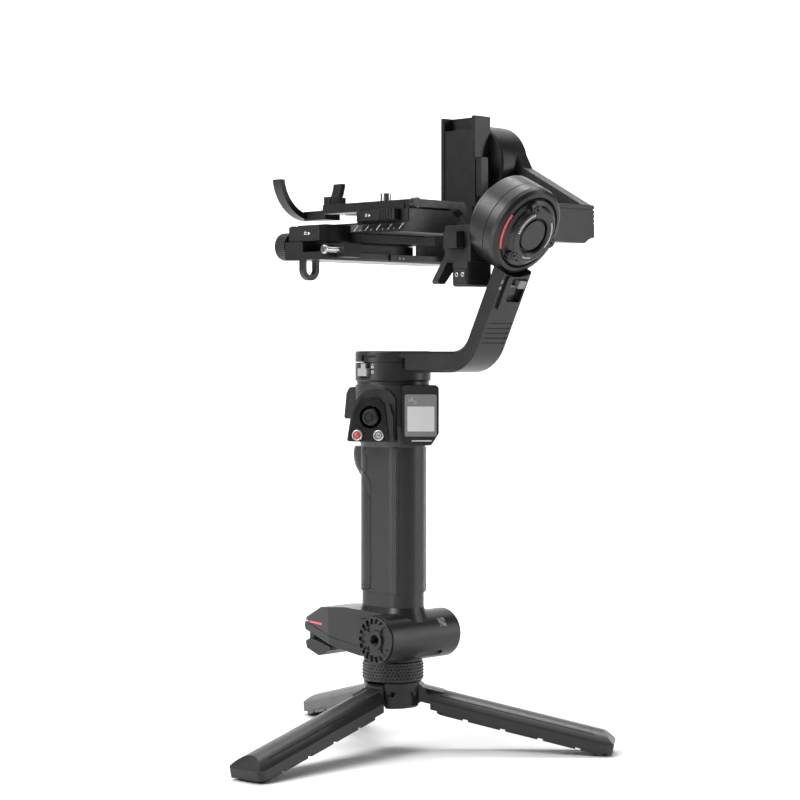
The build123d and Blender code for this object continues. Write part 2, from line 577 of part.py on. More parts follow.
screw_ring_r, screw_turn = 16.2, 72.0
with BuildPart() as roll_cap:
    ring = [(0, 0.9), (8.6, 0.9), (9.0, 1.3), (9.0, 3.0), (10.2, 3.0), (10.2, 0.8), (11.2, 0.0),
            (15.0, 0.0), (15.9, 0.7), (16.8, 3.4), (19.2, 4.2), (cap_r, 5.2), (cap_r, 7.0), (0, 7.0)]
    turned([(r, d * depth_sign) for r, d in ring])
    with BuildSketch(roll_axis.offset(0.4)) as lugs:
        with PolarLocations(screw_ring_r, 3, start_angle=screw_turn):
            Circle(3.3)
    extrude(lugs.sketch, amount=6.0)
    with BuildSketch(roll_axis.offset(-1)) as counterbores:
        with PolarLocations(screw_ring_r, 3, start_angle=screw_turn):
            Circle(2.2)
    extrude(counterbores.sketch, amount=2.2, mode=Mode.SUBTRACT)
    with BuildSketch(roll_axis.offset(-1)) as bores:
        with PolarLocations(screw_ring_r, 3, start_angle=screw_turn):
            Circle(1.0)
    extrude(bores.sketch, amount=9, mode=Mode.SUBTRACT)
save(roll_cap, "roll_cap_ring")

with BuildPart() as cap_screws:
    with BuildSketch(roll_axis.offset(0.1)) as heads:
        with PolarLocations(screw_ring_r, 3, start_angle=screw_turn):
            Circle(1.9)
    extrude(heads.sketch, amount=1.1)
    with BuildSketch(roll_axis.offset(1.2)) as stems:
        with PolarLocations(screw_ring_r, 3, start_angle=screw_turn):
            Circle(1.0)
    extrude(stems.sketch, amount=5.6)
    with BuildSketch(roll_axis.offset(-0.1)) as sockets:
        with PolarLocations(screw_ring_r, 3, start_angle=screw_turn):
            RegularPolygon(0.9, 6)
    extrude(sockets.sketch, amount=1.0, mode=Mode.SUBTRACT)
save(cap_screws, "roll_cap_screws")

with BuildPart() as cap_accent:
    arc_ring = [(cap_r + 0.15, 4.9), (cap_r + 0.4, 4.0), (cap_r + 1.9, 4.0), (cap_r + 1.9, 4.35),
                (cap_r + 0.8, 4.35), (cap_r + 0.35, 5.0)]
    turned([(r, d * depth_sign) for r, d in arc_ring])
    half_angle = 32
    with BuildSketch(roll_axis.offset(-2)) as sector:
        reach = 30
        Polygon((0, 0), (reach, reach * sin(radians(half_angle))),
                (reach, -reach * sin(radians(half_angle))), align=None)
    extrude(sector.sketch, amount=12, mode=Mode.INTERSECT)
save(cap_accent, "roll_cap_accent")

with BuildPart() as roll_coil:
    disc(roll_axis, 17.4, (9.6, roll_seam))
    disc(roll_axis, 9.0, (8, 20), mode=Mode.SUBTRACT)
    with BuildSketch(roll_axis.offset(10.4)) as slots:
        with PolarLocations(17.0, 12):
            Rectangle(3.6, 1.8)
    extrude(slots.sketch, amount=7, mode=Mode.SUBTRACT)
save(roll_coil, "roll_motor_coil")

with BuildPart() as roll_shaft:
    disc(roll_axis, 3.5 - fit, (7.4, roll_seam + gap))
save(roll_shaft, "roll_shaft")

clamp_x, clamp_y, clamp_z = (-21.0, 21.0), (-81.0, -61.5), (254.5, 275.0)
with BuildPart() as roll_rotor:
    disc(roll_axis, roll_r, (roll_seam + gap, roll_front))
    chamfer(roll_rotor.edges().sort_by(Axis(cap_centre, roll_axis.z_dir))[-1], 3.0)
    block(clamp_x, clamp_y, clamp_z)
    chamfer(roll_rotor.edges().filter_by(Axis.X).group_by(Axis.Y)[-1], 1.2)
    # stay behind the seam
    disc(roll_axis, 60, (-20, roll_seam + gap), mode=Mode.SUBTRACT)
    # skirt that carries the magnets round the coil
    disc(roll_axis, 22.0, (10.8, roll_seam + gap))
    disc(roll_axis, 18.6, (10, roll_seam + gap), mode=Mode.SUBTRACT)
    block((-40, 40), (bar_back - gap, bar_front + gap), (slide_low - gap, slide_high + gap),
          mode=Mode.SUBTRACT)
    disc(Plane.XY, 2.0, (250, slide_low), at=(-13, -70), mode=Mode.SUBTRACT)
save(roll_rotor, "roll_rotor_housing")

# accessory port block under the clamp
with BuildPart() as port_block:
    block((-21, -1), (-79, -66.5), (241.0, clamp_z[0]), 2.0)
    disc(roll_axis, roll_r, (roll_seam, roll_front), mode=Mode.SUBTRACT)
    chamfer(port_block.edges().group_by(Axis.Z)[0], 1.0)
    with BuildSketch(left_face.offset(20.3)) as cover_seam:
        with Locations((72.7, 247)):
            RectangleRounded(10, 8.4, 1.6)
            RectangleRounded(9.2, 7.6, 1.2, mode=Mode.SUBTRACT)
    extrude(cover_seam.sketch, amount=2, mode=Mode.SUBTRACT)
    for y in (70.5, 74.9):
        disc(left_face, 0.9, (20.0, 22), at=(y, 247.6), mode=Mode.SUBTRACT)
save(port_block, "port_block")

# lever that locks the roll arm in its clamp
arm_lock_at = (10.5, 258.8)
with BuildPart() as roll_arm_lock:
    disc(front_face, 3.2, (clamp_y[1] + gap, clamp_y[1] + 5.0), at=arm_lock_at)
    lever_view = [(13.5, 262.0), (7.5, 262.4), (7.9, 256.0), (20.5, 242.6), (25.5, 242.6), (25.9, 244.4)]
    profile(front_face, lever_view, (clamp_y[1] + gap, clamp_y[1] + 5.0), radius=0.8)
save(roll_arm_lock, "roll_arm_lock_lever")

# ================================================================================ roll arm
arm_outer_x = tilt_outer
side_in = tilt_seam + gap + 2  # inner face of the arm's side piece
with BuildPart() as roll_arm:
    block((-27.0, 40), (bar_back, bar_front), (slide_low, slide_high))
    beam_view = [(28, slide_low), (28, 269), (36, 286), (45, bar_high), (arm_outer_x, bar_high),
                 (arm_outer_x, bar_high - 12), (arm_outer_x - 3, bar_low + 3.5), (arm_outer_x - 8.6, bar_low),
                 (52, bar_low), (42, slide_low)]
    profile(rear_face, beam_view, (-bar_front, -bar_back), radius=1.0)
    side_arm = [(bar_back, 272), (bar_back, bar_high - 2), (-74, bar_high), (-28, 315.5), (-17, 335),
                (0, tilt_z + tilt_r), (0, tilt_z - tilt_r), (-14, 297), (-60, 271), (-64, 269.5)]
    profile(right_face, side_arm, (side_in, arm_outer_x))
    disc(right_face, tilt_r, (tilt_seam + gap, arm_outer_x), at=(0, tilt_z))
    disc(right_face, tilt_r - 2, (tilt_seam - 1, arm_outer_x - 4), at=(0, tilt_z), mode=Mode.SUBTRACT)
    # pocket in the inner face of the side piece, inside a rim
    pocket = [(-62, 292.6), (-31, 309), (-27, 305), (-27, 296), (-62, 276)]
    profile(right_face, pocket, (side_in - 1, side_in + 3.2), radius=1.5, mode=Mode.SUBTRACT)
    # grip ribs and a seam on the outer end of the cross bar
    for level in range(5):
        z = bar_high - 11 + 2.6 * level
        block((arm_outer_x - 0.6, arm_outer_x + 1), (bar_back - 1, bar_front + 1), (z, z + 0.9),
              mode=Mode.SUBTRACT)
    block((50, arm_outer_x + 1), (bar_back - 1, bar_back + 0.5), (bar_high - 3.0, bar_high - 2.4),
          mode=Mode.SUBTRACT)
    # raised cap with a round recess over the tilt motor
    disc(right_face, 19.0, (arm_outer_x, arm_outer_x + 1.2), at=(0, tilt_z))
    disc(right_face, 9.5, (arm_outer_x + 0.4, arm_outer_x + 2), at=(0, tilt_z), mode=Mode.SUBTRACT)
    disc(right_face, 3.5, (tilt_seam, arm_outer_x - 0.8), at=(0, tilt_z), mode=Mode.SUBTRACT)
save(roll_arm, "roll_arm")

with BuildPart() as tilt_coil:
    disc(right_face, 16.0, (tilt_seam + gap + 2, arm_outer_x - 4), at=(0, tilt_z))
    disc(right_face, 8.0, (tilt_seam, arm_outer_x), at=(0, tilt_z), mode=Mode.SUBTRACT)
save(tilt_coil, "tilt_motor_coil")

with BuildPart() as tilt_lock:
    panel(right_face, (-34, -28), (300, 304), (arm_outer_x, arm_outer_x + 1.6), 0.6)
save(tilt_lock, "tilt_lock_slider")

with BuildPart() as tilt_shaft:
    disc(right_face, 3.5 - fit, (tilt_seam, arm_outer_x - 1.2), at=(0, tilt_z))
save(tilt_shaft, "tilt_shaft")

guide_back, guide_front = -11.0, 11.0
tilt_lock_x = 58.6
upright_x = (55.5, 62.1)
with BuildPart() as tilt_rotor:
    disc(right_face, tilt_r, (tilt_inner, tilt_seam), at=(0, tilt_z))
    chamfer(tilt_rotor.edges().sort_by(Axis.X)[0], 1.0)
    # vertical guide for the tilt arm, an open channel towards the camera
    block((55.1, tilt_inner), (guide_back - 3, guide_front + 3), (292, 346))
    block((50, upright_x[1] + gap), (guide_back - gap, guide_front + gap), (280, 350),
          mode=Mode.SUBTRACT)
    disc(rear_face, 2.0, (0, 20), at=(tilt_lock_x, 300), mode=Mode.SUBTRACT)
save(tilt_rotor, "tilt_rotor_housing")

with BuildPart() as tilt_arm_lock:
    disc(rear_face, 2.0 - fit, (guide_front + gap + 0.4, 18.6), at=(tilt_lock_x, 300))
    panel(rear_face, (tilt_lock_x - 3, tilt_lock_x + 3), (297, 321), (14.4, 18.6), 1.6)
save(tilt_arm_lock, "tilt_arm_lock_lever")

pin_r, pin_at = 1.5, (-1.6, 263.0)
knob_pin_r, knob_at = 2.0, (44.0, 266.0)
with BuildPart() as tilt_arm:
    block(upright_x, (guide_back, guide_front), (beam_low, 338))
    arm_view = [(guide_back, beam_low), (guide_back, 284), (guide_front, 284), (beam_front, 270),
                (beam_front, beam_low)]
    profile(right_face, arm_view, upright_x)
    block((beam_left, upright_x[1]), (beam_back, beam_front), (beam_low, beam_high))
    chamfer(tilt_arm.edges().filter_by(Axis.X).group_by(Axis.Z)[0], 1.2)
    # foot under the rail, the bracket that guides the lock pin and a raised patch on the back edge
    block((beam_left, 38), (21, beam_front), (beam_high, rail_low))
    block((-41, -28), (-2.0, beam_back + 6), (beam_high - 3, beam_high + 5))
    disc(left_face, pin_r + fit, (30, 42), at=pin_at, mode=Mode.SUBTRACT)
    block((2, 21), (beam_back - 1.2, beam_back), (beam_low + 0.3, beam_high - 0.2), 0.0)
    # bore for the fine adjustment knob
    disc(front_face, knob_pin_r + fit, (33, beam_front + 1), at=knob_at, mode=Mode.SUBTRACT)
save(tilt_arm, "tilt_arm")

# ================================================================================ camera stage
channel = (plate_left - gap, plate_right + gap)
with BuildPart() as stage_rail:
    block((-44, 34), (10, 34), (rail_low, rail_top))
    block((channel[0], 34), (-1, 10), (rail_low, rail_top))
    block(channel, (-30, 40), (plate_low - gap, rail_top + 1), mode=Mode.SUBTRACT)
    disc(front_face, knob_pin_r + fit, (30, 40), at=knob_at, mode=Mode.SUBTRACT)
save(stage_rail, "stage_rail")

with BuildPart() as stage_lock:
    block((-50.5, -44.4), (8, 35), (rail_low + 0.4, rail_top - 1.2), 1.2)
    block((-51.3, -44.4), (8, 15), (rail_low + 0.4, rail_top - 0.8), 0.8)
    disc(Plane.XY, 1.8, (rail_top - 2, rail_top - 0.6), at=(-47.5, 33.2))
    for level in range(4):
        z = rail_low + 2.0 + 1.8 * level
        block((-52, -50.9), (7, 16), (z, z + 0.7), mode=Mode.SUBTRACT)
save(stage_lock, "stage_lock_lever")

with BuildPart() as fine_knob:
    knob_plane = upright(90, (-knob_at[0], beam_front, knob_at[1]))
    disc(knob_plane, 8.0, (0.8, 9.8))
    chamfer(fine_knob.edges().sort_by(Axis.Y)[-1], 0.8)
    with BuildSketch(knob_plane.offset(1.2)) as flutes:
        with PolarLocations(8.2, 36):
            Circle(0.5)
    extrude(flutes.sketch, amount=7.8, mode=Mode.SUBTRACT)
    disc(knob_plane, knob_pin_r, (-2.8, 0.8))
save(fine_knob, "fine_adjust_knob")

with BuildPart() as stage_pin:
    disc(left_face, 2.4, (52.6, 54.2), at=pin_at)
    chamfer(stage_pin.edges().sort_by(Axis.X)[0], 0.4)
    disc(left_face, pin_r, (36.0, 52.6), at=pin_at)
save(stage_pin, "stage_lock_pin")

with BuildPart() as pull_ring:
    ring_plane = upright(90, (-44, 24.0, 254.5))
    with BuildSketch(ring_plane.offset(-1.6)) as loop:
        SlotOverall(17, 13, rotation=90)
        SlotOverall(11, 7, rotation=90, mode=Mode.SUBTRACT)
    extrude(loop.sketch, amount=3.2)
    block((-60, -30), (20, 30), (beam_low, 270), mode=Mode.SUBTRACT)
save(pull_ring, "accessory_ring")

with BuildPart() as slide_plate:
    # the left edge is a bevel that carries the scale
    section = [(plate_left, plate_low), (plate_left, plate_low + 1.2), (plate_left + 4.5, plate_high - 0.8),
               (plate_left + 4.5, plate_high), (plate_right, plate_high), (plate_right, plate_low)]
    profile(rear_face, section, (-plate_front, -plate_back))
    for tick in range(9):
        y = 8.0 - 4.6 * tick
        panel(Plane.XY, (plate_left - 1, plate_left + 0.4), (y, y + 0.5), (plate_low - 1, plate_high),
              mode=Mode.SUBTRACT)
save(slide_plate, "slide_plate")

lever_at = (-16.7, 289.3)
deck_low = clamp_top + gap
with BuildPart() as quick_clamp:
    block((-20, plate_right), (plate_back, 10.0), (plate_high, clamp_top), 1.0)
    for x in ((-19, -14.4), (14.4, 19)):  # the walls that hold the camera plate
        block(x, (-28, 8), (clamp_top, deck_low + 2.6))
    block((-19.0, -14.4), (plate_back, plate_back + 3), (clamp_top, clamp_top + 4.6))
    disc(rear_face, 1.5, (20, 40), at=lever_at, mode=Mode.SUBTRACT)
save(quick_clamp, "quick_release_clamp")

with BuildPart() as quick_lock:
    block((-24.4, -20.6), (-26, 6), (plate_high + 0.4, clamp_top - 0.4), 1.2)
    block((-25.2, -20.6), (-26, -13), (plate_high + 0.4, clamp_top), 0.8)
    disc(Plane.XY, 1.4, (clamp_top - 1, clamp_top + 0.2), at=(-22.5, 4.4))
    for rib in range(5):
        y = -24.5 + 2.2 * rib
        block((-26, -24.8), (y, y + 1.0), (plate_high, clamp_top + 1), mode=Mode.SUBTRACT)
save(quick_lock, "quick_release_lock_lever")

with BuildPart() as quick_lever:
    back = -plate_back
    disc(rear_face, 3.0, (back + gap, back + 4.4), at=lever_at)
    lever_view = [(-16, 287.0), (-16, 291.6), (22, 291.4), (25, 289.0), (25.3, 284.2), (23.0, 283.8),
                  (18.5, 287.2)]
    profile(rear_face, lever_view, (back + gap, back + 3.6), radius=0.6)
    disc(rear_face, 1.5 - fit, (back - 2.6, back + gap), at=lever_at)
save(quick_lever, "quick_release_lever")

tongue_high = deck_low + 3.0
screw_y, neck_r = 6.0, 2.4  # the captive camera screw and its plain neck
with BuildPart() as camera_plate:
    block((-14, 14), (-28, 46), (deck_low, deck_top), 2.0)
    disc(Plane.XY, neck_r + fit, (clamp_top - 1, deck_top + 1), at=(0, screw_y), mode=Mode.SUBTRACT)
    # slot for the tongue of the lens support
    block((-5.35, 5.35), (18, 50), (deck_low - 1, tongue_high + gap), mode=Mode.SUBTRACT)
save(camera_plate, "camera_plate")

with BuildPart() as camera_screw:
    disc(Plane.XY, neck_r, (deck_low + 0.2, deck_top + 0.5), at=(0, screw_y))
    disc(Plane.XY, thread_r, (deck_top + 0.5, deck_top + 5.5), at=(0, screw_y))
save(camera_screw, "camera_screw")

with BuildPart() as lens_support:
    block((-5, 5), (20, 47), (deck_low + gap, tongue_high))
    block((-7, 7), (46.4, 52), (288.6, 297.4), 1.0)
    block((-6, 6), (51, 70), (284.0, 289.5))
    cradle_plane = upright(90, (0, 68, 311))
    with BuildSketch(cradle_plane) as arc:
        Circle(27)
        Circle(23.5, mode=Mode.SUBTRACT)
        with Locations((0, 12)):
            Rectangle(60, 30, mode=Mode.SUBTRACT)
    extrude(arc.sketch, amount=7)
save(lens_support, "lens_support")
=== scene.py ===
"""Looks of a three-axis camera gimbal on a mini tripod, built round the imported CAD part."""
import json
import math

import bpy
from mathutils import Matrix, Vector
from mathutils.bvhtree import BVHTree


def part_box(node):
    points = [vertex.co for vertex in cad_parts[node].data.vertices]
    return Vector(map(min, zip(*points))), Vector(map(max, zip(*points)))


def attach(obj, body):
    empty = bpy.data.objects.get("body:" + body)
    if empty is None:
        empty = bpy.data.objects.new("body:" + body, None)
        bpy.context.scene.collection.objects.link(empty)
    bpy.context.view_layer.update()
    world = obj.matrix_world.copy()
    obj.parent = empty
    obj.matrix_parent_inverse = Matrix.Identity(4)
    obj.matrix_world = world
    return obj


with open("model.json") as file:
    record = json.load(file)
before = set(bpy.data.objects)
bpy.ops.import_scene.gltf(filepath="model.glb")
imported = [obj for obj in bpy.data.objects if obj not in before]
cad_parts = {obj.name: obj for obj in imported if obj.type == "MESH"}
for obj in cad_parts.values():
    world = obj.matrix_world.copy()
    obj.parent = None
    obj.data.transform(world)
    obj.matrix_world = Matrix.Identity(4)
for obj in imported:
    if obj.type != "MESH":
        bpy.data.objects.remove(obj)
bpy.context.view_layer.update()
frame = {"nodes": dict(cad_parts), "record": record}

MM = 0.001
PROUD = 0.03  # printed marks stand this far off a surface, in millimetres

# ---- places shared with the CAD, in millimetres ----------------------------------------------
ROLL_SLANT = math.radians(26)
CAP_CENTRE = (0, -109, 268)
DISPLAY_AZIMUTH, PANEL_AZIMUTH = 225, 208
BARREL_Y, BARREL_Z, BARREL_R = -12, 41, 14.1


# ================================================================================ materials
class Graph:
    """A material's node tree, with short calls for adding and joining nodes."""

    def __init__(self, name):
        self.material = bpy.data.materials.new(name)
        self.material.use_nodes = True
        self.nodes = self.material.node_tree.nodes
        self.links = self.material.node_tree.links
        self.shader = self.nodes["Principled BSDF"]

    def add(self, kind, **values):
        node = self.nodes.new("ShaderNode" + kind)
        for key, value in values.items():
            if key in node.inputs:
                node.inputs[key].default_value = value
            else:
                setattr(node, key, value)
        return node

    def join(self, start, end):
        self.links.new(start, end)


def remap(graph, value, low, high, start=0.0, end=1.0):
    """value, taken from low..high to start..end."""
    node = graph.add("MapRange")
    graph.join(value, node.inputs["Value"])
    for key, number in zip(("From Min", "From Max", "To Min", "To Max"), (low, high, start, end)):
        node.inputs[key].default_value = number
    return node.outputs["Result"]


def tone(graph, factor, first, second):
    """A colour that goes from first to second with factor."""
    node = graph.add("Mix", data_type="RGBA")
    graph.join(factor, node.inputs[0])
    for socket, colour in ((node.inputs[6], first), (node.inputs[7], second)):
        if isinstance(colour, (tuple, list)):
            socket.default_value = (*colour, 1)
        else:
            graph.join(colour, socket)
    return node.outputs[2]


def finish_of(name, colour, rough, metal=0.0, grain=2600, depth=0.02, mottle=0.16, edge_wear_and_highlight=0.35,
              edge=0.3, coat=0.0, sheen=0.0, stretch=(1, 1, 1)):
    """A moulded or coated surface: fine grain, faint mottling, handling marks and brighter edges, whose
    lifted colour is partly edge wear and partly a painted edge highlight.
    """
    graph = Graph(name)
    place = graph.add("TexCoord").outputs["Object"]
    spread = graph.add("Mapping")
    spread.inputs["Scale"].default_value = stretch
    graph.join(place, spread.inputs["Vector"])
    place = spread.outputs["Vector"]
    fine = graph.add("TexNoise", Scale=grain, Detail=3.0, Roughness=0.6)
    broad = graph.add("TexNoise", Scale=55, Detail=4.0, Roughness=0.55)
    smears = graph.add("TexNoise", Scale=190, Detail=5.0, Roughness=0.7, Distortion=1.2)
    for texture in (fine, broad, smears):
        graph.join(place, texture.inputs["Vector"])

    dark = tuple(c * (1 - mottle) for c in colour)
    light = tuple(min(1, c * (1 + mottle)) for c in colour)
    body = tone(graph, remap(graph, broad.outputs["Fac"], 0.35, 0.65), dark, light)
    speck = tuple(min(1, c * 1.35) for c in colour)
    body = tone(graph, remap(graph, fine.outputs["Fac"], 0.5, 0.8, 0, 0.5), body, speck)

    rounded = graph.add("Bevel", samples=4)
    rounded.inputs["Radius"].default_value = edge * MM
    flat = graph.add("NewGeometry").outputs["Normal"]
    along = graph.add("VectorMath", operation="DOT_PRODUCT")
    graph.join(rounded.outputs["Normal"], along.inputs[0])
    graph.join(flat, along.inputs[1])
    # painted highlight along every edge, partly edge wear: this mask is strongest where the rounded
    # normal turns away from the flat one
    on_edge = remap(graph, along.outputs["Value"], 0.995, 0.86, 0, edge_wear_and_highlight)
    patchy = graph.add("Math", operation="MULTIPLY")
    graph.join(on_edge, patchy.inputs[0])
    graph.join(remap(graph, smears.outputs["Fac"], 0.4, 0.62, 0.25, 1), patchy.inputs[1])
    # colour of the painted edge highlight, partly edge wear, mixed in patches by the smear noise; pale
    # finishes go to white
    bright = tuple(min(1, c * 2.6 + 0.012) for c in colour)
    body = tone(graph, patchy.outputs["Value"], body, bright)
    graph.join(body, graph.shader.inputs["Base Color"])

    polish = remap(graph, smears.outputs["Fac"], 0.3, 0.7, rough + 0.05, rough - 0.06)
    graph.join(polish, graph.shader.inputs["Roughness"])
    bump = graph.add("Bump", Strength=0.55, Distance=depth * MM)
    graph.join(fine.outputs["Fac"], bump.inputs["Height"])
    graph.join(rounded.outputs["Normal"], bump.inputs["Normal"])
    graph.join(bump.outputs["Normal"], graph.shader.inputs["Normal"])
    graph.shader.inputs["Metallic"].default_value = metal
    graph.shader.inputs["Coat Weight"].default_value = coat
    graph.shader.inputs["Coat Roughness"].default_value = 0.08
    graph.shader.inputs["Sheen Weight"].default_value = sheen
    return graph.material


def winding(name):
    """Enamelled copper wire, laid in fine turns."""
    graph = Graph(name)
    place = graph.add("TexCoord").outputs["Object"]
    turns = graph.add("TexWave", Scale=420, Distortion=1.5, Detail=2.0)
    graph.join(place, turns.inputs["Vector"])
    graph.join(tone(graph, turns.outputs["Fac"], (0.35, 0.10, 0.03), (0.85, 0.38, 0.16)),
               graph.shader.inputs["Base Color"])
    bump = graph.add("Bump", Strength=0.8, Distance=0.08 * MM)
    graph.join(turns.outputs["Fac"], bump.inputs["Height"])
    graph.join(bump.outputs["Normal"], graph.shader.inputs["Normal"])
    graph.shader.inputs["Metallic"].default_value = 0.9
    graph.shader.inputs["Roughness"].default_value = 0.32
    return graph.material


FINISHES = {
    "black_plastic": finish_of("moulded_black", (0.012, 0.012, 0.013), 0.37),
    "black_aluminium": finish_of("coated_black", (0.015, 0.015, 0.016), 0.36, 0.2, grain=3600,
                                 depth=0.012),
    "grip_rubber": finish_of("soft_touch_black", (0.010, 0.010, 0.011), 0.42, grain=1700,
                             depth=0.035, sheen=0.12, edge_wear_and_highlight=0.15),
    "steel": finish_of("turned_steel", (0.62, 0.61, 0.59), 0.26, 1.0, grain=1500, depth=0.006,
                       mottle=0.08, edge_wear_and_highlight=0.2, edge=0.15, stretch=(1, 1, 8)),
    "copper_winding": winding("copper_wire"),
    "gloss_black": finish_of("gloss_black", (0.007, 0.007, 0.008), 0.22, grain=900, depth=0.003,
                             mottle=0.1, coat=0.4, edge_wear_and_highlight=0.25),
    "display_glass": finish_of("display_glass", (0.19, 0.192, 0.195), 0.16, grain=500,
                               depth=0.001, mottle=0.05, coat=1.0, edge_wear_and_highlight=0.1),
    "record_red": finish_of("record_red", (0.62, 0.030, 0.026), 0.30, mottle=0.08, edge_wear_and_highlight=0.2,
                            edge=0.15, coat=0.5),
    "silver": finish_of("satin_silver", (0.56, 0.56, 0.55), 0.34, 0.75, grain=3000, depth=0.006,
                        mottle=0.06, edge_wear_and_highlight=0.3, edge=0.2),
    "red_accent": finish_of("red_accent", (0.66, 0.035, 0.045), 0.28, mottle=0.12, edge_wear_and_highlight=0.2,
                            edge=0.15, coat=0.6),
    "battery_wrap": finish_of("battery_wrap", (0.05, 0.15, 0.40), 0.30, mottle=0.1, coat=0.5),
}
PRINT = finish_of("printed_white", (0.74, 0.74, 0.73), 0.55, grain=3000, depth=0.004, edge_wear_and_highlight=0.1,
                  edge=0.05)
PRINT_GREY = finish_of("printed_grey", (0.30, 0.30, 0.30), 0.55, grain=3000, depth=0.004,
                       edge_wear_and_highlight=0.1, edge=0.05)
SCREEN = finish_of("screen_light", (0.56, 0.565, 0.565), 0.22, grain=2400, depth=0.001,
                   mottle=0.03, coat=0.9, edge_wear_and_highlight=0.05, edge=0.05)
SEAM = finish_of("seam_shadow", (0.004, 0.004, 0.004), 0.8, grain=2000, depth=0.01, edge_wear_and_highlight=0.05,
                 edge=0.05)
LOCK_GREY = finish_of("lock_grey", (0.24, 0.24, 0.24), 0.38, grain=3000, depth=0.006)
MATT_DARK = finish_of("cap_black", (0.009, 0.009, 0.010), 0.34, grain=3200, depth=0.012)


def repaint(finish, *names):
    """Give CAD nodes a finish, in place of any they have."""
    for name in names:
        mesh = frame["nodes"][name].data
        mesh.materials.clear()
        mesh.materials.append(finish)


for part in frame["record"]["subparts"]:
    repaint(FINISHES[part["material_slot"]], part["node"])
repaint(MATT_DARK, "roll_cap_ring", "roll_cap_screws", "accessory_rosette", "joystick", "sling_grip_pin",
        "leg_pins", "base_lower_cover")
repaint(FINISHES["gloss_black"], "control_panel", "joystick_gimbal")
repaint(FINISHES["silver"], "record_button", "mode_button")
repaint(LOCK_GREY, "roll_lock_slider")


# ================================================================================ drawing
class Face:
    """A flat face of the object: its origin, and its directions across, up and outward."""

    def __init__(self, origin, outward, across=None):
        self.origin = Vector(origin)
        self.out = Vector(outward).normalized()
        self.across = Vector(across) if across else Vector((0, 0, 1)).cross(self.out).normalized()
        self.up = self.out.cross(self.across)

    def at(self, x, y, height=0.0):
        return (self.origin + x * self.across + y * self.up + height * self.out) * MM


def facing(azimuth, depth=0.0):
    """The upright face that looks towards azimuth, depth millimetres out from the pan axis."""
    turn = math.radians(azimuth)
    outward = Vector((math.cos(turn), math.sin(turn), 0))
    return Face(outward * depth, outward)


class Drum:
    """A round surface on an axis: x runs round it and y along it."""

    def __init__(self, origin, axis, start, radius):
        self.origin = Vector(origin)
        self.axis = Vector(axis).normalized()
        self.start = Vector(start).normalized()
        self.side = self.axis.cross(self.start)
        self.radius = radius

    def at(self, x, y, height=0.0):
        turn = x / self.radius
        outward = math.cos(turn) * self.start + math.sin(turn) * self.side
        return (self.origin + y * self.axis + (self.radius + height) * outward) * MM


def piece(name, vertices, faces, body, finish, smooth=False):
    """A new object that rides on a CAD body."""
    mesh = bpy.data.meshes.new(name)
    mesh.from_pydata([tuple(v) for v in vertices], [], faces)
    mesh.validate()
    mesh.materials.append(finish)
    if smooth:
        mesh.shade_smooth()
    made = bpy.data.objects.new(name, mesh)
    bpy.context.scene.collection.objects.link(made)
    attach(made, body)
    return made


def slabs(surface, outlines, low, high):
    """Vertices and faces of flat slabs, one for each outline, that follow a surface."""
    vertices, faces = [], []
    for outline in outlines:
        first, count = len(vertices), len(outline)
        for height in (low, high):
            vertices += [surface.at(x, y, height) for x, y in outline]
        faces.append(tuple(first + count + i for i in range(count)))
        faces.append(tuple(first + i for i in reversed(range(count))))
        for i in range(count):
            j = (i + 1) % count
            faces.append((first + i, first + j, first + count + j, first + count + i))
    return vertices, faces


def rectangle(x, y, width, height, corner=0.0, steps=4):
    """A rectangle about (x, y), its corners rounded if corner is given."""
    w, h = width / 2, height / 2
    if not corner:
        return [(x - w, y - h), (x + w, y - h), (x + w, y + h), (x - w, y + h)]
    points = []
    for quarter, (sx, sy) in enumerate(((1, 1), (-1, 1), (-1, -1), (1, -1))):
        for step in range(steps + 1):
            turn = math.pi / 2 * (quarter + step / steps)
            points.append((x + sx * (w - corner) + corner * math.cos(turn),
                           y + sy * (h - corner) + corner * math.sin(turn)))
    return points


def arc_band(x, y, radius, width, start, end, steps=12):
    """Quads along an arc, as outlines."""
    inner, outer = radius - width / 2, radius + width / 2
    angles = [math.radians(start + (end - start) * i / steps) for i in range(steps + 1)]
    return [[(x + inner * math.cos(a), y + inner * math.sin(a)),
             (x + outer * math.cos(a), y + outer * math.sin(a)),
             (x + outer * math.cos(b), y + outer * math.sin(b)),
             (x + inner * math.cos(b), y + inner * math.sin(b))]
            for a, b in zip(angles, angles[1:])]


def padlock(x, y, size, is_open=False):
    """A generic padlock icon, as outlines."""
    lift = 0.22 * size if is_open else 0.0
    body = [rectangle(x, y - 0.2 * size, 0.8 * size, 0.13 * size),
            rectangle(x, y + 0.22 * size, 0.8 * size, 0.13 * size),
            rectangle(x - 0.36 * size, y, 0.12 * size, 0.42 * size),
            rectangle(x + 0.36 * size, y, 0.12 * size, 0.42 * size)]
    return body + arc_band(x, y + 0.3 * size + lift, 0.24 * size, 0.12 * size, 0, 180, 8)


def printed(name, surface, outlines, body, finish=PRINT, height=PROUD):
    """Marks printed on a surface."""
    vertices, faces = slabs(surface, outlines, -PROUD, height)
    return piece(name, vertices, faces, body, finish)


def ring(name, surface, x, y, profile, body, finish, steps=48):
    """A turned piece round (x, y): profile is (radius, height) points, closed."""
    vertices, faces = [], []
    count = len(profile)
    for step in range(steps):
        turn = 2 * math.pi * step / steps
        vertices += [surface.at(x + r * math.cos(turn), y + r * math.sin(turn), h)
                     for r, h in profile]
    for step in range(steps):
        for i in range(count):
            j = (i + 1) % count
            this, after = step * count, (step + 1) % steps * count
            faces.append((this + i, after + i, after + j, this + j))
    return piece(name, vertices, faces, body, finish)


# ================================================================================ head
display = facing(DISPLAY_AZIMUTH)
GLASS_OUT = 23.8  # the glass front, out from the pan axis
GLASS_MIDDLE = 15.9  # across the display's face
LIT_MIDDLE = 166.8  # height of the lit square's middle
LIT_SIZE = (15.4, 14.2)
BUTTON_TOP = 25.3  # out from the pan axis
on_glass = Face(display.out * GLASS_OUT, display.out)


